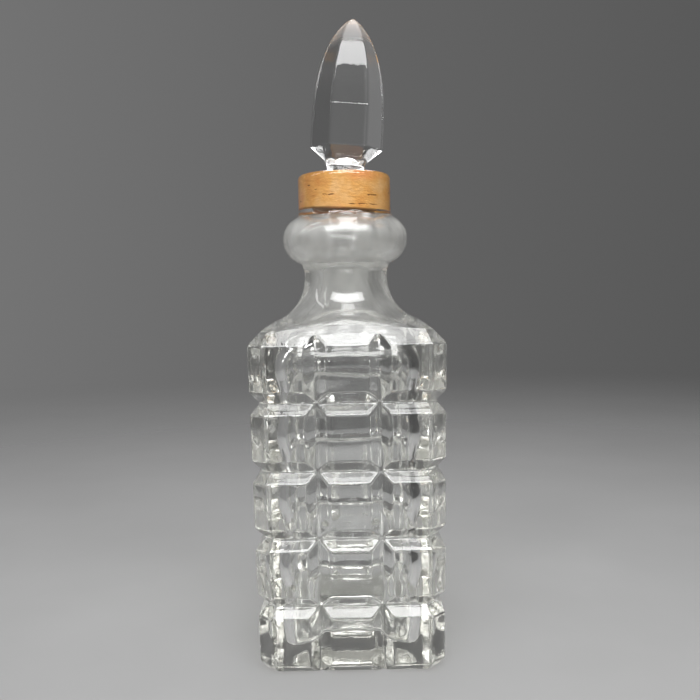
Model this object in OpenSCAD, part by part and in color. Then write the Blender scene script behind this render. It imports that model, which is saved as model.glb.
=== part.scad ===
// Square pressed-glass bottle with a block-cut body, a ringed neck and a cork-sleeved glass stopper.
// Millimetres, +Z up. The origin is the middle of the foot, and -Y is the front.

/* [Body] */
// Width across the flat faces at the top of the body
body_w = 78.4; // [72:0.2:90]
// Width across the flat faces at the foot
foot_w = 74.8; // [72:0.2:86]
// Width that the slanted corners take off each face
corner_cut = 5.7; // [4.5:0.1:8]
// Number of rows of blocks
rows = 5; // [3:1:7]
// Height from one level cut to the next
row_pitch = 27; // [24:0.5:32]
// Number of columns of blocks on a face
columns = 3; // [2:1:4]
// Width from one upright cut to the next
column_pitch = 25; // [16:0.5:27]
// Half the width of a cut where it meets the face
cut_half_w = 4.4; // [3:0.1:5.5]
// Depth of the level cuts
cut_d = 4.2; // [2.5:0.1:4.6]
// Depth of the upright cuts
upright_d = 4.4; // [2.5:0.1:4.8]
// Depth of the bevel round the foot
foot_bevel = 3.4; // [1:0.1:4]
// Height of the bevel round the foot
foot_bevel_h = 3.6; // [1:0.1:6]
// Radius of the hollow under the foot
foot_hollow_r = 24; // [15:0.5:28]
// Height of the hollow under the foot
foot_hollow_h = 1.6; // [0.5:0.1:4]

/* [Shoulder and neck] */
// Height of the shoulder's seam above the last row of blocks
shoulder_lift = 2.7; // [1:0.1:3.5]
// Fall of the shoulder towards the corners, in degrees
shoulder_fall = 8; // [4:0.5:12]
// Radius of the shoulder's hollow curve
shoulder_curve = 19.5; // [14:0.5:24]
// Radius of the neck at its waist
waist_r = 17.4; // [16:0.1:20]
// Radius of the neck where it meets the ring
neck_top_r = 18.4; // [17:0.1:20]
// Height of the neck from its waist to the ring
neck_h = 5.7; // [3:0.1:12]
// Outer radius of the ring
ring_r = 26.2; // [24:0.1:30]
// Height of the ring's round section
ring_h = 20.4; // [17:0.2:24]
// Outer radius of the lip
lip_r = 19.4; // [18.6:0.1:22]
// Height of the lip above the ring
lip_h = 17.3; // [15:0.1:24]
// Rounding of the lip's outer edge
rim_round = 2; // [0.5:0.1:2.4]
// Rounding of the lip's inner edge
mouth_round = 0.8; // [0.3:0.1:1]

/* [Inside] */
// Width of the chamber between its flat walls
chamber_w = 56; // [46:0.5:58]
// Radius of the chamber's upright corners
chamber_corner = 11; // [6:0.5:16]
// Glass under the chamber's floor at its edge
foot_t = 11.5; // [6:0.1:16]
// Rise of the chamber's floor in the middle
floor_rise = 8; // [2:0.5:12]
// Glass of the shoulder, measured down from its seam
shoulder_wall = 4.6; // [3:0.1:7]
// Radius of the neck's bore
bore_r = 10; // [7:0.1:12]
// Glass of the ring
ring_wall = 3.8; // [3:0.1:5]
// Radius of the mouth at the rim
mouth_r = 14.8; // [13.6:0.1:15.6]
// Half the angle of the mouth's taper
mouth_taper = 3.5; // [1:0.1:4.5]

/* [Cork] */
// Length of the cork sleeve
cork_h = 14.8; // [10:0.1:16]
// Depth of the cork's top below the rim
cork_set = 0.5; // [0:0.1:1.5]
// Clearance between the cork and the mouth
mouth_gap = 0.06; // [0.02:0.01:0.1]
// Clearance between the glass peg and the cork
peg_gap = 0.05; // [0.02:0.01:0.1]

/* [Stopper] */
// Lean of the stopper to the right, in degrees
stopper_lean = 4; // [0:0.5:5]
// Turn of the stopper's facets at rest, in degrees
finial_turn = 3; // [0:1:60]
// Radius of the peg at the cork's top
peg_r = 7.3; // [6:0.1:8.5]
// Radius of the peg at its end
peg_end_r = 4.4; // [3.5:0.1:5.5]
// Length of the peg below the rim
peg_h = 39; // [20:0.5:45]
// Height of the stem from the rim to the finial
stem_h = 5.2; // [4:0.1:12]
// Radius of the stem under the finial
stem_top_r = 8.4; // [7:0.1:9.5]
// Width of the finial across its flats
finial_w = 26.8; // [22:0.1:32]
// Height of the finial's slanted underside
under_h = 5.8; // [3:0.1:9]
// Height of the finial above its underside
finial_h = 53; // [40:0.5:70]

/* [Hidden] */
$fn = 72;

// Levels from the foot up
blocks_top = rows * row_pitch;
seam_z = blocks_top + shoulder_lift;
waist_z = seam_z + shoulder_curve * cos(shoulder_fall);
neck_top_z = waist_z + neck_h;
ring_round = ring_h / 2;
ring_mid_r = ring_r - ring_round;
ring_low_a = -acos((neck_top_r - ring_mid_r) / ring_round);
ring_high_a = acos((lip_r - ring_mid_r) / ring_round);
ring_z = neck_top_z - ring_round * sin(ring_low_a);
lip_z = ring_z + ring_round * sin(ring_high_a);
rim_z = lip_z + lip_h;

// Cork and stopper, measured from the rim
cork_top_z = rim_z - cork_set;
cork_low_z = cork_top_z - cork_h;
lean_z = cork_top_z - cork_h / 2;
peg_end_z = rim_z - peg_h;
under_z = rim_z + stem_h;
finial_z = under_z + under_h;

// Room that cutters take past the glass, and steps of the curves
past = 30;
steep = cut_half_w / cut_d;
shoulder_reach = body_w * 0.75;
shoulder_cut_d = 0.95 * corner_cut / (2 - sqrt(2));
curve_steps = 10;
round_steps = 5;

function arc(r, z, radius, from, to, steps) =
    [for (i = [0:steps]) let (a = from + (to - from) * i / steps) [r + radius * cos(a), z + radius * sin(a)]];

function mirrored(half) =
    concat(half, [for (i = [len(half) - 1:-1:0]) [-half[i].x, half[i].y]]);

// Distance from the axis to a face at height z
function half_w(z) = (foot_w + (body_w - foot_w) * z / blocks_top) / 2;

// Eight corners of the column at height z, with every side set in by the same depth
function ring(z, depth) =
    let (h = half_w(z) - depth, e = half_w(z) - corner_cut - depth * (sqrt(2) - 1))
    [[h, -e, z], [h, e, z], [e, h, z], [-e, h, z], [-h, e, z], [-h, -e, z], [-e, -h, z], [e, -h, z]];

// Square column with slanted corners and level cuts, as rings from the foot up
module stepped_column() {
    rings = concat(
        [ring(0, foot_bevel), ring(foot_bevel_h, 0)],
        [for (i = [1:rows - 1], step = [-1, 0, 1])
            ring(i * row_pitch + step * cut_half_w, step == 0 ? cut_d : 0)],
        [ring(blocks_top - cut_half_w, 0)],
        [ring(blocks_top - cut_half_w + shoulder_cut_d * steep, shoulder_cut_d)],
        [ring(rim_z + past, shoulder_cut_d)]
    );
    last = len(rings) - 1;
    polyhedron(
        points = [for (r = rings, p = r) p],
        faces = concat(
            [[for (k = [0:7]) k]],
            [for (i = [0:last - 1], k = [0:7])
                let (a = 8 * i + k, b = 8 * i + (k + 1) % 8)
                [a, a + 8, b + 8, b]],
            [[for (k = [7:-1:0]) 8 * last + k]]
        )
    );
}

module upright_cut()
    let (wide = cut_half_w * (1 + past / upright_d))
    translate([0, 0, -past])
    linear_extrude(height = blocks_top + 2 * past)
    polygon([[-wide, -past], [wide, -past], [0, upright_d]]);

module upright_cuts()
    for (side = [0:3], i = [1:columns - 1])
        rotate([0, 0, side * 90])
        translate([(i - columns / 2) * column_pitch, -half_w(0), 0])
        rotate([atan((body_w - foot_w) / 2 / blocks_top), 0, 0])
        upright_cut();

module block_column() difference() {
    stepped_column();
    upright_cuts();
}

// Everything inside the shoulder, the neck, the ring and the lip, turned about the axis
module turned_outline() rotate_extrude() polygon(concat(
    [[0, -past], [shoulder_reach, -past]],
    let (foot = arc(waist_r + shoulder_curve, waist_z, shoulder_curve, 270 - shoulder_fall, 180, curve_steps))
    concat([[shoulder_reach, foot[0].y - (shoulder_reach - foot[0].x) * tan(shoulder_fall)]], foot),
    [[waist_r, waist_z + neck_h / 2]],
    arc(ring_mid_r, ring_z, ring_round, ring_low_a, ring_high_a, 2 * curve_steps),
    arc(lip_r - rim_round, rim_z - rim_round, rim_round, 0, 90, round_steps),
    [[0, rim_z]]
));

function mouth_r_at(z) = mouth_r - (rim_z - z) * tan(mouth_taper);

// Space inside the glass, turned about the axis
module turned_space() {
    dome_r = (pow(chamber_w * 0.65, 2) + pow(floor_rise, 2)) / (2 * floor_rise);
    dome_a = asin(chamber_w * 0.65 / dome_r);
    inner_curve = shoulder_curve + shoulder_wall;
    hollow_round = ring_round - ring_wall;
    mouth_low_z = cork_low_z - 2;
    top = arc(bore_r + inner_curve, waist_z, inner_curve, 270 - shoulder_fall, 180, curve_steps);
    rotate_extrude() polygon(concat(
        [for (p = arc(0, foot_t + floor_rise - dome_r, dome_r, 90, 90 - dome_a, round_steps)) p],
        [[chamber_w, foot_t], [chamber_w, top[0].y - (chamber_w - top[0].x) * tan(shoulder_fall)]],
        top,
        [[bore_r, neck_top_z - ring_wall / 3]],
        arc(ring_mid_r, ring_z, hollow_round, -60, 60, curve_steps),
        [[mouth_r_at(mouth_low_z), mouth_low_z]],
        [for (p = arc(mouth_r + mouth_round, rim_z - mouth_round, mouth_round, 180, 90, round_steps)) p],
        [[mouth_r + mouth_round, rim_z + past], [0, rim_z + past]]
    ));
}

// Upright walls of the chamber, as a square with round corners
module chamber_walls() {
    flat = chamber_w / 2 - chamber_corner;
    linear_extrude(height = rim_z + past) polygon([
        for (turn = [0:3], p = arc(flat, flat, chamber_corner, 0, 90, round_steps))
            [p.x * cos(turn * 90) - p.y * sin(turn * 90), p.x * sin(turn * 90) + p.y * cos(turn * 90)]
    ]);
}

module foot_hollow() {
    dish_r = (pow(foot_hollow_r, 2) + pow(foot_hollow_h, 2)) / (2 * foot_hollow_h);
    translate([0, 0, foot_hollow_h - dish_r]) sphere(r = dish_r);
}

module bottle() color([0.84, 0.9, 0.87]) difference() {
    intersection() {
        block_column();
        turned_outline();
    }
    intersection() {
        chamber_walls();
        turned_space();
    }
    foot_hollow();
}

// Frame of the stopper, which leans about the middle of its cork
module leaning() translate([0, 0, lean_z]) rotate([0, stopper_lean, 0]) translate([0, 0, -lean_z]) children();

function peg_r_at(z) = peg_r - (peg_r - peg_end_r) * (cork_top_z - z) / (cork_top_z - peg_end_z);

module cork_sleeve() color([0.8, 0.56, 0.3]) difference() {
    bottom_z = cork_low_z - past;
    translate([0, 0, bottom_z])
        cylinder(
            r1 = mouth_r_at(bottom_z) - mouth_gap,
            r2 = mouth_r_at(cork_top_z) - mouth_gap,
            h = cork_top_z - bottom_z
        );
    leaning() translate([-past, -past, cork_low_z - 3 * past]) cube([2 * past, 2 * past, 3 * past]);
    leaning() translate([0, 0, peg_end_z])
        cylinder(
            r1 = peg_end_r + peg_gap,
            r2 = peg_r_at(cork_top_z + past) + peg_gap,
            h = cork_top_z + past - peg_end_z
        );
}

// Half width of the finial at the share u of its height
function ogive(u) = finial_w / 2 * pow(1 - pow(u, 3), 0.74);

// Six curved facets that meet in sharp mitres, over a slanted underside
module finial() {
    half = concat(
        [[stem_top_r * cos(30), under_z]],
        [for (i = [0:curve_steps + 3])
            let (u = sin(90 * i / (curve_steps + 4)))
            [ogive(u), finial_z + finial_h * u]],
        [[0.6, finial_z + finial_h]]
    );
    intersection_for (turn = [30, 90, 150])
        rotate([90, 0, turn])
        linear_extrude(height = 2 * finial_w, center = true)
        polygon(mirrored(half));
}

// Stem above the cork and tapered peg below it, with a rounded end
module peg() {
    end_round = peg_end_r * 0.6;
    rotate_extrude() polygon(concat(
        [[0, peg_end_z]],
        arc(peg_end_r - end_round, peg_end_z + end_round, end_round, -90, 0, round_steps),
        [[peg_r, cork_top_z], [peg_r, rim_z + 1]],
        [[stem_top_r, under_z], [stem_top_r, under_z + 1], [0, under_z + 1]]
    ));
}

module glass_stopper() color([0.9, 0.93, 0.94]) leaning() rotate([0, 0, finial_turn]) {
    finial();
    peg();
}

bottle();
cork_sleeve();
glass_stopper();
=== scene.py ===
import math

import bmesh
import bpy
from mathutils import Matrix, Vector, noise


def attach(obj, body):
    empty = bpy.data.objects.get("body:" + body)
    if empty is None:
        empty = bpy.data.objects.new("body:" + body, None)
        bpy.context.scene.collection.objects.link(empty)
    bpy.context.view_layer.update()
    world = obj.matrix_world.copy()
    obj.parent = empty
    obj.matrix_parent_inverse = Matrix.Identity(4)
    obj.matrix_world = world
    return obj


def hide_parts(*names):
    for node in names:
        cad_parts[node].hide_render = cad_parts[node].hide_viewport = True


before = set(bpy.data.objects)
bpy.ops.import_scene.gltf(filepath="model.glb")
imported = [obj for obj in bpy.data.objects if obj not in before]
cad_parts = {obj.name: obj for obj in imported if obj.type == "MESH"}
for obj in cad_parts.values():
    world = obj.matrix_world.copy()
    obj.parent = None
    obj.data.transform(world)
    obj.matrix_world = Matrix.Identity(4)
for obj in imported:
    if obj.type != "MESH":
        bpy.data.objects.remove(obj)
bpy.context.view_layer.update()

MM = 0.001

# Sizes of the glass in millimetres. They are the solids' own, except that the body is 0.45 mm slimmer
# on each side and its upright cuts lie 0.15 mm nearer the middle.
FOOT_HALF, TOP_HALF = 36.95, 38.75
CORNER_CUT = 5.7
ROWS, ROW_PITCH = 5, 27.0
BLOCKS_TOP = ROWS * ROW_PITCH
UPRIGHT_X = 12.35
CUT_HALF, CUT_D, UPRIGHT_D = 4.4, 4.2, 4.4
FOOT_BEVEL, FOOT_BEVEL_H = 3.4, 3.6
HOLLOW_R, HOLLOW_H = 24.0, 1.6
CHAMFER_Z = BLOCKS_TOP - CUT_HALF
SEAM_Z = BLOCKS_TOP + 2.7
FALL = math.radians(8)
SHOULDER_R = 19.5
WAIST_R, NECK_TOP_R, NECK_H = 17.4, 18.4, 5.7
WAIST_Z = SEAM_Z + SHOULDER_R * math.cos(FALL)
NECK_TOP_Z = WAIST_Z + NECK_H
RING_R, RING_ROUND = 26.2, 10.2
RING_MID_R = RING_R - RING_ROUND
LIP_R, LIP_H, RIM_ROUND, MOUTH_ROUND = 19.4, 17.3, 2.0, 0.8
RING_LOW = -math.acos((NECK_TOP_R - RING_MID_R) / RING_ROUND)
RING_HIGH = math.acos((LIP_R - RING_MID_R) / RING_ROUND)
RING_Z = NECK_TOP_Z - RING_ROUND * math.sin(RING_LOW)
LIP_Z = RING_Z + RING_ROUND * math.sin(RING_HIGH)
RIM_Z = LIP_Z + LIP_H
CHAMBER_HALF, CHAMBER_CORNER = 28.0, 11.0
FOOT_T, FLOOR_RISE = 11.5, 8.0
BORE_R, INNER_R = 10.0, SHOULDER_R + 4.6
HOLLOW_ROUND = RING_ROUND - 3.8
MOUTH_R, MOUTH_TAPER = 14.8, math.radians(3.5)
CORK_TOP_Z = RIM_Z - 0.5
CORK_LOW_Z = CORK_TOP_Z - 14.8
LEAN_Z = (CORK_TOP_Z + CORK_LOW_Z) / 2
PEG_R, PEG_END_R, PEG_END_Z = 7.3, 4.4, RIM_Z - 39
STEM_TOP_R, FINIAL_HALF = 8.4, 13.4
UNDER_Z = RIM_Z + 5.2
FINIAL_Z = UNDER_Z + 5.8
FINIAL_H = 53.0
LEAN = math.radians(4)
TURN = math.radians(3)

# Softness of the pressed edges and of the bottoms of the cuts
EDGE, VALLEY = 0.9, 0.6

# The cork is pressed this far into the wall of the mouth, so that no air shows between them
CORK_PRESS = 0.1

# The chamber's wall swells by BULGE behind each row of blocks and by PILLOW behind each column.
# The swelling fades in over SWELL_RISE above SWELL_Z, and over SWELL_REACH outside SWELL_R.
BULGE, PILLOW, COLUMN_PITCH = 1.5, 0.25, 2 * UPRIGHT_X
SWELL_Z, SWELL_RISE = 14, 6
SWELL_R, SWELL_REACH = 15, 10

# Slow unevenness of the same wall: the length of its waves and their height
WAVE, WAVE_H = 15.0, 0.7

# The chamber's floor droops towards its corners, outside DROOP_R
DROOP, DROOP_R, DROOP_REACH, DROOP_POWER = 4.2, 26, 9, 1.3

# Between FLAT_EDGE and NOMINAL_EDGE a face is stretched to meet its slanted corner
FLAT_EDGE, NOMINAL_EDGE = 17.5, 33.0

# Mould line round the finial's front, as a share of its height, and how far it stands out
MOULD_LINE, MOULD_H = 0.3, 0.16

# Points of a mesh closer than this are one point, in metres
JOIN = 0.000002

# Below this height, in metres, faces that slant more than FLAT_FACE allows are cut in two
SPLIT_TOP, FLAT_FACE = 0.1385, 0.96


def smooth_max(a, b, k):
    if abs(a - b) >= k:
        return max(a, b)
    return (a + b) / 2 + ((a - b) ** 2 + k * k) / (4 * k)


def soft_abs(u, k):
    return abs(u) if abs(u) >= k else (u * u + k * k) / (2 * k)


def mixed(a, b, t):
    return a + (b - a) * t


def faded(value, start, reach):
    """0 up to start, then rising to 1 over reach."""
    return min(1.0, max(0.0, (value - start) / reach))


def steps(a, b, count):
    """count values evenly spaced after a, ending at b."""
    return [mixed(a, b, (i + 1) / count) for i in range(count)]


def turned(line, angle):
    """The points of a line of radius and height, turned to that angle round the axis."""
    return [(r * math.cos(angle), r * math.sin(angle), z) for r, z in line]


def arc(r, z, radius, start, end, count):
    return [(r + radius * math.cos(a), z + radius * math.sin(a))
            for a in [start] + steps(start, end, count)]


def resampled(line, step):
    """The same line with points at an even distance."""
    spans = [math.dist(a, b) for a, b in zip(line, line[1:])]
    count = max(2, round(sum(spans) / step))
    found, k, done = [line[0]], 0, 0.0
    for i in range(1, count):
        goal = sum(spans) * i / count
        while done + spans[k] < goal:
            done += spans[k]
            k += 1
        t = (goal - done) / spans[k]
        found.append(tuple(mixed(p, q, t) for p, q in zip(line[k], line[k + 1])))
    return found + [line[-1]]


def softened(line, times):
    """The line with its corners eased, between fixed ends."""
    for _ in range(times):
        line = [line[0]] + [
            tuple((p + 2 * q + r) / 4 for p, q, r in zip(a, b, c))
            for a, b, c in zip(line, line[1:], line[2:])
        ] + [line[-1]]
    return line


def eased_corner(before, corner, after, count):
    """A soft bend from before to after, drawn towards corner."""
    bend = []
    for i in range(count + 1):
        t = i / count
        bend.append(tuple(
            (1 - t) ** 2 * p + 2 * t * (1 - t) * q + t * t * r
            for p, q, r in zip(before, corner, after)
        ))
    return bend


def wrapped_sheet(columns):
    """Closed mesh from a flat grid, whose columns take the given lines of points."""
    bm = bmesh.new()
    across, along = len(columns), len(columns[0])
    bmesh.ops.create_grid(bm, x_segments=across, y_segments=along - 1, size=1.0)
    bm.verts.ensure_lookup_table()
    for j in range(along):
        for i in range(across + 1):
            bm.verts[j * (across + 1) + i].co = Vector(columns[i % across][j]) * MM
    bmesh.ops.remove_doubles(bm, verts=bm.verts[:], dist=JOIN)
    bmesh.ops.recalc_face_normals(bm, faces=bm.faces[:])
    return bm


def finished(bm, name, body, node, material):
    mesh = bpy.data.meshes.new(name)
    bm.to_mesh(mesh)
    bm.free()
    mesh.polygons.foreach_set("use_smooth", [True] * len(mesh.polygons))
    piece = bpy.data.objects.new(name, mesh)
    bpy.context.scene.collection.objects.link(piece)
    mesh.materials.append(material)
    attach(piece, body)
    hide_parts(node)
    return piece


class Value:
    """A number that varies over a surface, written as Python sums."""

    def __init__(self, paint, socket):
        self.paint, self.socket = paint, socket

    def math(self, operation, *others):
        values = {i + 1: o for i, o in enumerate(others)}
        return self.paint.add("ShaderNodeMath", {"operation": operation}, {0: self, **values})

    def __add__(self, other):
        return self.math("ADD", other)

    def __radd__(self, other):
        return self.math("ADD", other)

    def __sub__(self, other):
        return self.math("SUBTRACT", other)

    def __rsub__(self, other):
        return self.math("MULTIPLY_ADD", -1.0, other)

    def __mul__(self, other):
        return self.math("MULTIPLY", other)

    def __rmul__(self, other):
        return self.math("MULTIPLY", other)


class Paint:
    """The nodes of one material, or of the world around the scene."""

    def __init__(self, owner):
        world = isinstance(owner, bpy.types.World)
        self.owner = owner if world else bpy.data.materials.new(owner)
        self.owner.use_nodes = True
        self.tree = self.owner.node_tree
        self.tree.nodes.clear()
        kind = "ShaderNodeOutputWorld" if world else "ShaderNodeOutputMaterial"
        self.output = self.tree.nodes.new(kind)

    def add(self, kind, settings=None, values=None, out=0):
        node = self.tree.nodes.new(kind)
        for key, setting in (settings or {}).items():
            if key == "stops":
                ramp = node.color_ramp
                while len(ramp.elements) < len(setting):
                    ramp.elements.new(1.0)
                for element, (position, color) in zip(ramp.elements, setting):
                    element.position = position
                    element.color = (*color, 1.0)
            else:
                setattr(node, key, setting)
        for key, value in (values or {}).items():
            self.put(node.inputs[key], value)
        return Value(self, node.outputs[out])

    def put(self, socket, value):
        if isinstance(value, Value):
            self.tree.links.new(value.socket, socket)
        elif hasattr(socket.default_value, "__len__") and len(socket.default_value) == 4:
            socket.default_value = (*value[:3], 1.0)
        else:
            socket.default_value = value

    def place(self, scale=(1, 1, 1)):
        """Object coordinates, stretched by scale."""
        where = self.add("ShaderNodeTexCoord", out="Object")
        return self.add("ShaderNodeMapping", {}, {"Vector": where, "Scale": scale})

    def parts(self, vector):
        """The x, y and z of a vector."""
        node = self.add("ShaderNodeSeparateXYZ", {}, {0: vector}).socket.node
        return [Value(self, output) for output in node.outputs]

    def noise(self, where, scale, detail=2.0, roughness=0.5):
        values = {"Vector": where, "Scale": scale, "Detail": detail, "Roughness": roughness}
        return self.add("ShaderNodeTexNoise", {}, values)

    def ramp(self, value, stops):
        return self.add("ShaderNodeValToRGB", {"stops": stops}, {0: value}, "Color")

    def grey(self, value, low, high):
        """0 below low, 1 above high."""
        values = {"Value": value, "From Min": low, "From Max": high}
        return self.add("ShaderNodeMapRange", {"clamp": True}, values)

    def blend(self, share, a, b):
        return self.add("ShaderNodeMix", {"data_type": "RGBA"}, {0: share, 6: a, 7: b}, 2)

    def bump(self, height, strength, distance):
        values = {"Height": height, "Strength": strength, "Distance": distance}
        return self.add("ShaderNodeBump", {}, values)

    def show(self, shader, volume=None):
        self.tree.links.new(shader.socket, self.output.inputs["Surface"])
        if volume:
            self.tree.links.new(volume.socket, self.output.inputs["Volume"])
        return self.owner


# Height that the stops of a ramp of cloudiness are shares of, in metres
TALL = 0.27

# Cloudiness by height in metres, the roughness that it gives and the share of its pale film
NECK_STOPS = [(0.131, 0.0), (0.142, 0.5), (0.158, 0.8), (0.166, 1.0), (0.1775, 1.0), (0.1815, 0.0)]
NECK_CLOUD = NECK_STOPS, 0.14, 0.15
TIP_CLOUD = [(0.2505, 0.0), (0.2555, 1.0)], 0.4, 0.0

# Where the haze of the chamber's wall ends, in metres: outwards, towards the foot and upwards
INNER_SIDE, INNER_LOW, INNER_HIGH = (0.0302, 0.0318), (0.004, 0.006), (0.136, 0.142)

# Roughness of polished glass, and its index of refraction
POLISH, GLASS_IOR = 0.004, 1.5


def pressed_glass(name, tint, absorbed, density, ripple, haze, clouded, inside=0.0):
    """Clear pressed glass, faintly rippled, clouded by height and hazy inside its square body."""
    paint = Paint(name)
    where = paint.place()
    waves = paint.noise(where, 90.0, 1.0)
    fine = paint.noise(where, 420.0, 2.0)
    bump = paint.bump(waves + fine * 0.25, ripple, 0.0012)
    smear = paint.grey(paint.noise(where, 55.0, 3.0), 0.45, 0.75)
    x, y, height = paint.parts(where)
    across = x.math("ABSOLUTE").math("MAXIMUM", y.math("ABSOLUTE"))
    inner = (1.0 - paint.grey(across, *INNER_SIDE)) * paint.grey(height, *INNER_LOW)
    inner = inner * (1.0 - paint.grey(height, *INNER_HIGH))
    stops, cloud, milk = clouded
    foggy = paint.ramp(height * (1 / TALL), [(z / TALL, (fog, fog, fog)) for z, fog in stops])
    glass = paint.add("ShaderNodeBsdfPrincipled", {}, {
        "Base Color": tint,
        "Roughness": smear * haze + foggy * cloud + inner * inside + POLISH,
        "Transmission Weight": 1.0,
        "IOR": GLASS_IOR,
        "Normal": bump,
    })
    if milk:
        film = paint.add("ShaderNodeBsdfPrincipled", {}, {
            "Base Color": (0.8, 0.8, 0.77),
            "Roughness": 0.7,
            "Specular IOR Level": 0.2,
        })
        streaks = paint.grey(paint.noise(paint.place((1.0, 1.0, 0.35)), 210.0, 4.0, 0.6), 0.3, 0.7)
        share = foggy * (streaks * 0.9 + 0.45) * milk
        glass = paint.add("ShaderNodeMixShader", {}, {0: share, 1: glass, 2: film})
    clear = paint.add("ShaderNodeBsdfTransparent", {}, {"Color": (0.875, 0.875, 0.865)})
    lamp = paint.add("ShaderNodeLightPath", out="Is Shadow Ray")
    bounced = paint.add("ShaderNodeLightPath", out="Is Diffuse Ray")
    both = paint.add("ShaderNodeMixShader", {}, {0: lamp + bounced, 1: glass, 2: clear})
    values = {"Color": absorbed, "Density": density}
    return paint.show(both, paint.add("ShaderNodeVolumeAbsorption", {}, values))


# Fissures in the cork's front: height, middle, half length and half width, in metres
FISSURES = [
    (0.1901, -0.0059, 0.0022, 0.0003),
    (0.1899, 0.0100, 0.0016, 0.0003),
    (0.1860, 0.0066, 0.0052, 0.0002),
]


def natural_cork():
    """Orange-tan cork with soft mottling, pores, a few long fissures and painted shade along its lower
    edge.
    """
    paint = Paint("natural_cork")
    where = paint.place()
    level = paint.place((1.0, 1.0, 2.2))
    cloud = paint.noise(where, 95.0, 3.0, 0.6)
    grain = paint.noise(level, 520.0, 4.0, 0.65)
    color = paint.ramp(cloud, [
        (0.3, (0.62, 0.26, 0.065)),
        (0.5, (0.72, 0.36, 0.10)),
        (0.72, (0.79, 0.47, 0.20)),
    ])
    color = paint.blend(paint.grey(grain, 0.48, 0.8) * 0.3, color, (0.45, 0.2, 0.06))
    cells = {"Vector": level, "Scale": 260.0, "Randomness": 1.0}
    cell = paint.add("ShaderNodeTexVoronoi", {}, cells, "Distance")
    pores = 1.0 - paint.grey(cell, 0.12, 0.26)
    pores = pores * paint.grey(paint.noise(where, 150.0), 0.53, 0.62)
    x, y, z = paint.parts(where)
    wander = (paint.noise(where, 300.0, 2.0) - 0.5) * 0.0014
    front = paint.grey(y * -1.0, 0.0, 0.002) * paint.grey(paint.noise(where, 700.0), 0.4, 0.52)
    for height, middle, half, width in FISSURES:
        off = (z + wander - height).math("ABSOLUTE")
        along = (x - middle).math("ABSOLUTE")
        near = (1.0 - paint.grey(off, width * 0.5, width * 1.5)) * front
        pores = pores + near * (1.0 - paint.grey(along, half * 0.8, half))
    pores = pores.math("MINIMUM", 1.0)
    # Painted shade: a dark band along the cork's lower edge stands in for the shadow in the gap
    # between cork and glass.
    low = z + x * math.tan(LEAN) - CORK_LOW_Z * MM
    painted_gap_shade = 1.0 - paint.grey(low + wander * 0.3, 0.0006, 0.0011)
    color = paint.blend(painted_gap_shade * 0.75, color, (0.12, 0.05, 0.018))
    blush = paint.grey(paint.noise(where, 60.0, 2.0), 0.5, 0.66)
    color = paint.blend(blush * 0.55, color, (0.78, 0.27, 0.11))
    color = paint.blend(pores * 0.75, color, (0.17, 0.07, 0.02))
    bump = paint.bump(grain - pores * 1.4, 0.5, 0.0006)
    cork = paint.add("ShaderNodeBsdfPrincipled", {}, {
        "Base Color": color,
        "Roughness": 0.72 + grain * 0.2,
        "Specular IOR Level": 0.3,
        "Normal": bump,
    })
    return paint.show(cork)


def half_width(z):
    return mixed(FOOT_HALF, TOP_HALF, z / BLOCKS_TOP)


def level_cut(z):
    """Depth of the foot's bevel, the level cuts or the shoulder's slope at height z.

    It is below 0 where there is none of them.
    """
    found = [FOOT_BEVEL * (1 - z / FOOT_BEVEL_H), (z - CHAMFER_Z) * CUT_D / CUT_HALF]
    for i in range(1, ROWS):
        found.append(CUT_D * (1 - soft_abs(z - i * ROW_PITCH, VALLEY) / CUT_HALF))
    return max(found)


def upright_cut(x):
    return max(UPRIGHT_D * (1 - soft_abs(x - s * UPRIGHT_X, VALLEY) / CUT_HALF) for s in (-1, 1))


def cut_depth(x, z):
    level = level_cut(z)
    if x is not None:
        level = smooth_max(level, upright_cut(x), EDGE)
    return smooth_max(level, 0.0, EDGE)


def column_point(station, z, extra=0.0):
    """A point of the cut column at height z, on one of its four faces or slanted corners."""
    kind, value, side = station
    edge_d = cut_depth(None, z) + extra
    half = half_width(z)
    edge = half - CORNER_CUT - edge_d * (math.sqrt(2) - 1)
    if kind == "face":
        depth = cut_depth(value, z) + extra
        x = value
        if abs(x) > FLAT_EDGE:
            t = (abs(x) - FLAT_EDGE) / (NOMINAL_EDGE - FLAT_EDGE)
            x = math.copysign(mixed(FLAT_EDGE, edge, t), x)
        y = depth - half
    else:
        x = mixed(edge, half - edge_d, value)
        y = -mixed(half - edge_d, edge, value)
    a = side * math.pi / 2
    return (x * math.cos(a) - y * math.sin(a), x * math.sin(a) + y * math.cos(a), z)


def column_stations():
    near = [0.0, 0.5, 1.0, 1.6, 2.2, 2.8, 3.4, 3.9, 4.4, 4.9, 5.3]
    cut = [-u for u in near[:0:-1]] + near
    half_face = [0.0, 2.4, 4.8]
    half_face += [UPRIGHT_X + u for u in cut]
    half_face += [20.5, 24.0, 27.5, 30.5, 32.0, 32.5, NOMINAL_EDGE]
    face = [-x for x in half_face[:0:-1]] + half_face
    corner = [0.062, 0.125, 0.31, 0.5, 0.69, 0.875, 0.938]
    stations = []
    for side in range(4):
        stations += [("face", x, side) for x in face]
        stations += [("corner", t, side) for t in corner]
    return stations


def column_levels():
    near = [0.0, 0.314, 0.838, 1.467, 2.095, 2.724, 3.353, 3.876, 4.4, 4.9, 5.3]
    cut = [-u for u in near[:0:-1]] + near
    levels = [0.3, 0.635, 1.27, 1.906, 2.54, 3.07, 3.6, 4.1, 4.6]
    for i in range(1, ROWS):
        centre = i * ROW_PITCH
        levels += steps(levels[-1], centre + cut[0], 5)[:-1]
        levels += [centre + u for u in cut]
    levels += steps(levels[-1], CHAMFER_Z - 0.9, 5)
    slope = [-0.5, 0.0, 0.524, 1.048, 1.676, 2.305, 2.933, 3.562, 4.086, 4.609]
    return levels + [CHAMFER_Z + u for u in slope]


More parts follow.
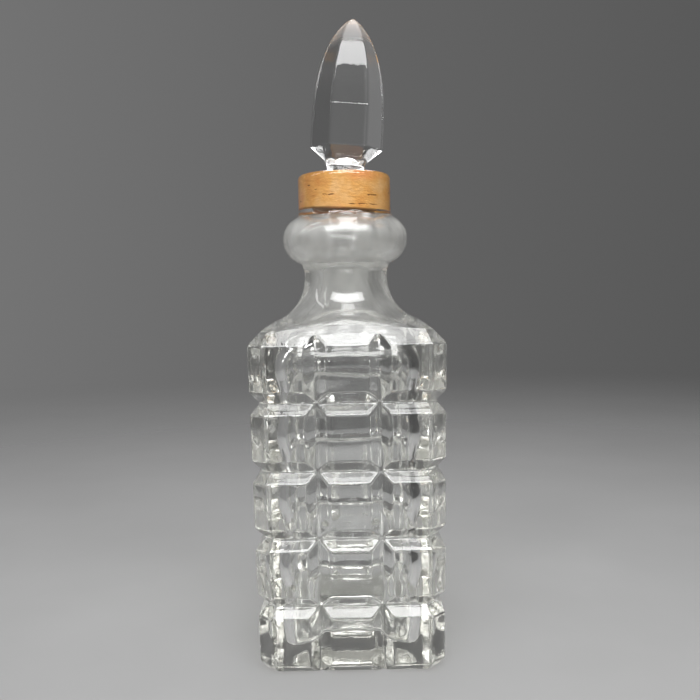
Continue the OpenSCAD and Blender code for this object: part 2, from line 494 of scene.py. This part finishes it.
def trumpet(length):
    """Point of the shoulder's hollow curve, at that distance below the waist."""
    whole = SHOULDER_R * (math.pi / 2 - FALL)
    if length < whole:
        a = length / SHOULDER_R
        return (WAIST_R + SHOULDER_R * (1 - math.cos(a)), WAIST_Z - SHOULDER_R * math.sin(a))
    r, z = trumpet(whole * 0.999999)
    return (r + (length - whole) * math.cos(FALL), z - (length - whole) * math.sin(FALL))


def trumpet_length(r):
    whole = SHOULDER_R * (math.pi / 2 - FALL)
    r_whole = trumpet(whole)[0]
    if r > r_whole:
        return whole + (r - r_whole) / math.cos(FALL)
    return SHOULDER_R * math.acos(1 - (r - WAIST_R) / SHOULDER_R)


def seam_height(station):
    """Height at which the cut column meets the shoulder's curve."""
    low, high = CHAMFER_Z + 4.7, CHAMFER_Z + 10.0
    for _ in range(30):
        z = (low + high) / 2
        x, y, _z = column_point(station, z)
        if trumpet(trumpet_length(math.hypot(x, y)))[1] > z:
            low = z
        else:
            high = z
    return low


def inner_trumpet_z(r):
    a = math.pi / 2 - FALL
    r_whole = BORE_R + INNER_R * (1 - math.cos(a))
    if r > r_whole:
        return WAIST_Z - INNER_R * math.sin(a) - (r - r_whole) * math.tan(FALL)
    return WAIST_Z - math.sqrt(INNER_R ** 2 - (BORE_R + INNER_R - r) ** 2)


def floor_height(r):
    reach = CHAMBER_HALF * 1.3
    dome = (reach ** 2 + FLOOR_RISE ** 2) / (2 * FLOOR_RISE)
    droop = DROOP * (max(0.0, r - DROOP_R) / DROOP_REACH) ** DROOP_POWER
    return FOOT_T + FLOOR_RISE - droop - dome + math.sqrt(dome ** 2 - r * r)


def chamber_radius(angle):
    """Distance from the axis to the chamber's wall, a square with round corners."""
    a = math.remainder(angle, math.pi / 2)
    flat = CHAMBER_HALF - CHAMBER_CORNER
    if abs(math.tan(a)) <= flat / CHAMBER_HALF:
        return CHAMBER_HALF / math.cos(a)
    b = flat * (math.cos(a) + math.sin(abs(a)))
    return b + math.sqrt(b * b - 2 * flat ** 2 + CHAMBER_CORNER ** 2)


def neck_line():
    """Outside of the neck, the ring and the lip, from the waist up to the rim."""
    line = [(WAIST_R, WAIST_Z), (WAIST_R, WAIST_Z + NECK_H * 0.4), (NECK_TOP_R, NECK_TOP_Z)]
    line += arc(RING_MID_R, RING_Z, RING_ROUND, RING_LOW, RING_HIGH, 40)
    line += [(LIP_R, RIM_Z - RIM_ROUND)]
    line = softened(resampled(line, 0.9), 2)
    rim = arc(LIP_R - RIM_ROUND, RIM_Z - RIM_ROUND, RIM_ROUND, 0, math.pi / 2, 6)
    return line[1:] + rim[1:]


def mouth_line():
    """Inside from the rim down to the waist's height."""
    low_z = CORK_LOW_Z - 2
    line = arc(MOUTH_R + MOUTH_ROUND, RIM_Z - MOUTH_ROUND, MOUTH_ROUND, math.pi / 2, math.pi, 4)
    low_r = MOUTH_R - (RIM_Z - low_z) * math.tan(MOUTH_TAPER)
    line += [(mixed(MOUTH_R, low_r, t), mixed(RIM_Z - MOUTH_ROUND, low_z, t)) for t in (0.3, 0.6)]
    under = [(mixed(MOUTH_R, low_r, 0.85), mixed(RIM_Z, low_z, 0.85)), (low_r, low_z)]
    under += arc(RING_MID_R, RING_Z, HOLLOW_ROUND, math.pi / 3, -math.pi / 3, 24)
    under += [(BORE_R, NECK_TOP_Z - 1.27), (BORE_R, WAIST_Z)]
    return line + softened(resampled(under, 1.4), 3)


def foot_points(station):
    """Under the foot, from the middle of its hollow out to the start of its bevel."""
    low = Vector(column_point(station, 0.0))
    angle = math.atan2(low.y, low.x)
    shares = (0.0, 0.25, 0.5, 0.75, 0.93)
    points = turned([(HOLLOW_R * t, HOLLOW_H * (1 - t ** 2)) for t in shares], angle)
    rim = Vector((math.cos(angle), math.sin(angle), 0.0)) * HOLLOW_R
    inset = Vector(column_point(station, 0.0, 1.3))
    points += [tuple(rim.lerp(inset, t)) for t in (0.02, 0.3, 0.7, 1.0)]
    points.append(column_point(station, 0.0, 0.7))
    lifted = column_point(station, 0.0, 0.28)
    return points + [(lifted[0], lifted[1], 0.07)]


def side_points(station, levels):
    """Up the cut column and along the shoulder to the waist, and the angle of that column."""
    seam = seam_height(station)
    top = column_point(station, seam)
    angle = math.atan2(top[1], top[0])
    whole = trumpet_length(math.hypot(top[0], top[1]))
    curve = [trumpet(whole - 0.5), trumpet(whole - 1.0)]
    curve += [trumpet((whole - 1.0) * (1 - t)) for t in steps(0, 1, 18)]
    curve = turned(curve, angle)
    slope = [column_point(station, mixed(levels[-1], seam, t)) for t in (0.3, 0.6, 0.85)]
    eased = Vector(top) * 0.55 + (Vector(slope[-1]) + Vector(curve[0])) * 0.225
    points = [column_point(station, z) for z in levels]
    return points + slope + [tuple(eased)] + curve, angle


def chamber_line(wall_r):
    """Inside from the waist down the shoulder and the wall, then along the floor to the middle."""
    line = []
    for t in steps(0, 1, 14):
        a = (math.pi / 2 - FALL) * t * 0.6
        line.append((BORE_R + INNER_R * (1 - math.cos(a)), WAIST_Z - INNER_R * math.sin(a)))
    start_r, corner_z = wall_r - 9.0, inner_trumpet_z(wall_r)
    wall_top = (wall_r, corner_z - 10)
    line += eased_corner((start_r, inner_trumpet_z(start_r)), (wall_r, corner_z), wall_top, 12)
    floor_r, foot_z = wall_r - 3, floor_height(wall_r)
    wall_low = (wall_r, foot_z + 2.5)
    line += [(wall_r, mixed(wall_top[1], wall_low[1], t)) for t in steps(0, 1, 30)[:-1]]
    line += eased_corner(wall_low, (wall_r, foot_z), (floor_r, floor_height(floor_r)), 6)
    shares = (0.85, 0.68, 0.5, 0.33, 0.16, 0.0)
    return line + [(floor_r * t, floor_height(floor_r * t)) for t in shares]


def blown(r, z, angle):
    """A point of the chamber's wall, swelled and uneven as blown glass is."""
    point = Vector((r * math.cos(angle), r * math.sin(angle), z))
    across = min(abs(point.x), abs(point.y)) / COLUMN_PITCH
    swell = BULGE * math.cos((z / ROW_PITCH - 0.5) * 2 * math.pi)
    swell += PILLOW * math.cos(across * 2 * math.pi)
    swell *= faded(z, SWELL_Z, SWELL_RISE)
    swell += noise.noise(point / WAVE) * WAVE_H
    keep = 1 + faded(r, SWELL_R, SWELL_REACH) * swell / max(r, 1.0)
    return (point.x * keep, point.y * keep, z)


def bottle_columns():
    levels = column_levels()
    neck_and_mouth = neck_line() + mouth_line()
    columns = []
    for station in column_stations():
        side, angle = side_points(station, levels)
        inside = [blown(r, z, angle) for r, z in chamber_line(chamber_radius(angle))]
        columns.append(foot_points(station) + side + turned(neck_and_mouth, angle) + inside)
    return columns


def make_bottle(glass):
    bm = wrapped_sheet(bottle_columns())
    cut = [f for f in bm.faces if len(f.verts) == 4 and f.calc_center_median().z < SPLIT_TOP
           and max(abs(f.normal.x), abs(f.normal.y)) < FLAT_FACE]
    bmesh.ops.triangulate(bm, faces=cut, quad_method="LONG_EDGE", ngon_method="BEAUTY")
    return finished(bm, "pressed_bottle", "bottle", "bottle", glass)


def leaned(point):
    """The stopper's own upright shape, turned and leaned as it sits in the cork."""
    matrix = (Matrix.Translation((0, 0, LEAN_Z)) @ Matrix.Rotation(LEAN, 4, "Y")
              @ Matrix.Translation((0, 0, -LEAN_Z)) @ Matrix.Rotation(TURN, 4, "Z"))
    return tuple(matrix @ Vector(point))


def ogive(u):
    return FINIAL_HALF * (1 - u ** 3) ** 0.7


def facet_radius(angle, half, soft):
    """Distance to the side of a hexagon with flats to the front and back."""
    a = math.remainder(angle - math.pi / 2, math.pi / 3)
    edge = half / math.cos(a)
    return edge - soft * max(0.0, 1 - (math.pi / 6 - abs(a)) / 0.05) ** 2


def stopper_columns():
    flat = [-0.5, -0.485, -0.465, -0.44, -0.36, -0.22, -0.08, 0.08, 0.22, 0.36, 0.44, 0.465, 0.485]
    angles = [(k + t) * math.pi / 3 + math.pi / 2 for k in range(6) for t in flat]
    rounding = PEG_END_R * 0.6
    peg = [(0.0, PEG_END_Z)]
    peg += arc(PEG_END_R - rounding, PEG_END_Z + rounding, rounding, -math.pi / 2, 0, 7)
    peg += [(mixed(PEG_END_R, PEG_R, t), mixed(PEG_END_Z + rounding, CORK_TOP_Z, t))
            for t in steps(0, 1, 16)]
    stem = softened(resampled([
        (PEG_R, CORK_TOP_Z + 0.3), (PEG_R, RIM_Z + 1), (STEM_TOP_R, UNDER_Z - 0.2),
        (STEM_TOP_R, UNDER_Z)], 0.5), 3)
    levels = [0.006, 0.012, 0.03] + steps(0.03, 0.29, 8) + [0.296, MOULD_LINE, 0.304, 0.312]
    levels += steps(0.312, 0.9, 22) + [0.925, 0.945, 0.96, 0.972, 0.982, 0.99, 0.995, 0.998]
    stem_half = STEM_TOP_R * math.cos(math.pi / 6)
    tip = FINIAL_Z + FINIAL_H
    columns = []
    for angle in angles:
        line = peg + stem
        for t in steps(0, 1, 10):
            r = facet_radius(angle, mixed(stem_half, FINIAL_HALF, t), 0.25)
            r = max(r, STEM_TOP_R) if t < 0.2 else r
            line.append((r, mixed(UNDER_Z, FINIAL_Z, t)))
        for u in levels:
            marked = abs(u - MOULD_LINE) < 0.001 and math.sin(angle) < 0.3
            half = ogive(u) + (MOULD_H if marked else 0.0)
            line.append((facet_radius(angle, half, 0.25), FINIAL_Z + FINIAL_H * u))
        line += [(ogive(levels[-1]) * 0.5, tip - 0.02), (0.0, tip)]
        columns.append([leaned(point) for point in turned(line, angle)])
    return columns


def make_stopper(glass):
    bm = wrapped_sheet(stopper_columns())
    return finished(bm, "faceted_stopper", "stopper", "glass_stopper", glass)


def cork_columns():
    columns = []
    count = 144
    tilt = math.tan(LEAN)
    top_r = MOUTH_R - 0.5 * math.tan(MOUTH_TAPER) + CORK_PRESS
    slope = math.tan(MOUTH_TAPER)
    peg_slope = (PEG_R - PEG_END_R) / (CORK_TOP_Z - PEG_END_Z)
    for k in range(count):
        angle = k * 2 * math.pi / count
        c, s = math.cos(angle), math.sin(angle)
        line = []
        for depth, inset in [(0.0, 0.5), (0.05, 0.25), (0.2, 0.06), (0.5, 0.0)]:
            r = top_r - inset - depth * slope
            line.append((r * c, r * s, CORK_TOP_Z - depth))
        low_z = CORK_LOW_Z - top_r * c * tilt
        for t in steps(0, 1, 16)[:-1]:
            z = mixed(CORK_TOP_Z - 0.5, low_z + 0.7, t)
            r = top_r - (CORK_TOP_Z - z) * slope
            line.append((r * c, r * s, z))
        for lift, inset in [(0.7, 0.0), (0.2, 0.0), (0.06, 0.08), (0.0, 0.3)]:
            z = low_z + lift
            r = top_r - (CORK_TOP_Z - z) * slope - inset
            line.append((r * c, r * s, z + inset * c * tilt))
        outside = []
        for x, y, z in line:
            point = Vector((x, y, z))
            crack = noise.noise(Vector((x, y, z * 4.5)) / 5.5)
            dent = 0.05 * faded(crack, 0.28, 0.3)
            pit = 0.04 * faded(noise.noise(point / 1.3), 0.35, 1.0)
            keep = 1 - (dent + pit) / max(6.0, math.hypot(x, y))
            outside.append((x * keep, y * keep, z))
        inside = []
        for t in [0.0] + steps(0, 1, 8):
            z = mixed(CORK_LOW_Z, CORK_TOP_Z, t)
            r = PEG_R - (CORK_TOP_Z - z) * peg_slope + 0.05
            place = Vector(leaned((r * c, r * s, z)))
            flat_z = CORK_TOP_Z if t == 1.0 else place.z
            shift = (flat_z - place.z) * tilt
            inside.append((place.x + shift, place.y, flat_z))
        columns.append(outside + inside + [outside[0]])
    return columns


def make_cork(cork):
    bm = wrapped_sheet(cork_columns())
    return finished(bm, "bored_cork", "cork", "cork_sleeve", cork)


def make_stage():
    """Pale table that fades into the room, which the glass shows and bends."""
    paint = Paint("pale_table")
    where = paint.place()
    shade = paint.grey(paint.noise(where, 9.0, 3.0), 0.2, 0.8)
    color = paint.blend(shade, (0.225, 0.225, 0.225), (0.25, 0.25, 0.25))
    cloth = paint.add("ShaderNodeBsdfPrincipled", {}, {
        "Base Color": color,
        "Roughness": 0.75,
        "Specular IOR Level": 0.2,
    })
    away = paint.add("ShaderNodeVectorMath", {"operation": "LENGTH"}, {0: where}, "Value")
    open_air = paint.add("ShaderNodeBsdfTransparent")
    near, far = 0.12, 1.1
    edge = paint.grey(away, near, far)
    table = paint.show(paint.add("ShaderNodeMixShader", {}, {0: edge, 1: cloth, 2: open_air}))
    bm = bmesh.new()
    table_r, just_below = 6.0, Matrix.Translation((0, 0, -0.0002))
    bmesh.ops.create_circle(bm, cap_ends=True, segments=96, radius=table_r, matrix=just_below)
    mesh = bpy.data.meshes.new("table")
    bm.to_mesh(mesh)
    bm.free()
    mesh.materials.append(table)
    floor = bpy.data.objects.new("table", mesh)
    bpy.context.scene.collection.objects.link(floor)


def make_light():
    """A grey room, paler on the left and dark overhead, with lamps in front, above and at the left."""
    world = bpy.data.worlds.new("studio")
    bpy.context.scene.world = world
    room = Paint(world)
    along, _y, up = room.parts(room.add("ShaderNodeTexCoord", out="Generated"))
    side = room.grey(along, -1.0, 1.0)
    level = room.ramp(side, [
        (0.0, (0.24, 0.24, 0.24)),
        (0.5, (0.13, 0.13, 0.13)),
        (1.0, (0.055, 0.055, 0.055)),
    ])
    level = room.blend(room.grey(up, 0.45, 0.8), level, (0.05, 0.05, 0.05))
    shown = room.add("ShaderNodeBackground", {}, {"Color": level, "Strength": 1.0})
    soft = room.add("ShaderNodeBackground", {}, {"Color": (1.0, 1.0, 1.0), "Strength": 0.25})
    rough = room.add("ShaderNodeLightPath", out="Is Diffuse Ray")
    room.show(room.add("ShaderNodeMixShader", {}, {0: rough, 1: shown, 2: soft}))
    # Name, place, what it is aimed at, width and height in metres, and brightness
    lamps = [
        ("front_lamp", (0.05, -0.70, 1.05), (0.0, 0.0, 0.18), (1.5, 0.44), 12.4),
        ("top_lamp", (0.04, 0.0, 1.30), (0.0, 0.0, 0.12), (1.0, 0.36), 8.0),
        ("left_lamp", (-0.95, -0.04, 0.95), (0.0, 0.0, 0.14), (0.1, 0.9), 6.0),
    ]
    for name, place, aim, size, radiance in lamps:
        data = bpy.data.lights.new(name, "AREA")
        data.shape = "RECTANGLE"
        data.size, data.size_y = size
        data.energy = radiance * math.pi * size[0] * size[1]
        lamp = bpy.data.objects.new(name, data)
        lamp.location = place
        lamp.rotation_euler = (Vector(aim) - Vector(place)).to_track_quat("-Z", "Y").to_euler()
        bpy.context.scene.collection.objects.link(lamp)


def make_camera():
    """The photograph's view: as high as the neck, looking a little down, with a slight roll."""
    data = bpy.data.cameras.new("camera")
    data.sensor_width = 36.0
    data.lens = 42.0
    camera = bpy.data.objects.new("camera", data)
    bpy.context.scene.collection.objects.link(camera)
    pitch, roll = math.radians(4.6), math.radians(-1.1)
    turn = Matrix.Rotation(math.pi / 2 - pitch, 4, "X") @ Matrix.Rotation(roll, 4, "Z")
    eye = (0.0012, -0.3486, 0.1538)
    camera.matrix_world = Matrix.Translation(eye) @ turn
    bpy.context.scene.camera = camera


scene = bpy.context.scene
scene.view_settings.view_transform = "Standard"
scene.cycles.max_bounces = 32
scene.cycles.transmission_bounces = 32
scene.cycles.transparent_max_bounces = 32
scene.cycles.glossy_bounces = 12
scene.cycles.caustics_refractive = False
scene.cycles.caustics_reflective = False

body_glass = pressed_glass(
    "body_glass", tint=(0.985, 0.99, 0.985), absorbed=(0.97, 0.965, 0.88), density=5.0,
    ripple=0.12, haze=0.05, clouded=NECK_CLOUD, inside=0.08)
clear_glass = pressed_glass(
    "clear_glass", tint=(0.99, 0.99, 0.99), absorbed=(0.95, 0.97, 0.96), density=4.0,
    ripple=0.2, haze=0.01, clouded=TIP_CLOUD)
make_bottle(body_glass)
make_stopper(clear_glass)
make_cork(natural_cork())
make_stage()
make_light()
make_camera()
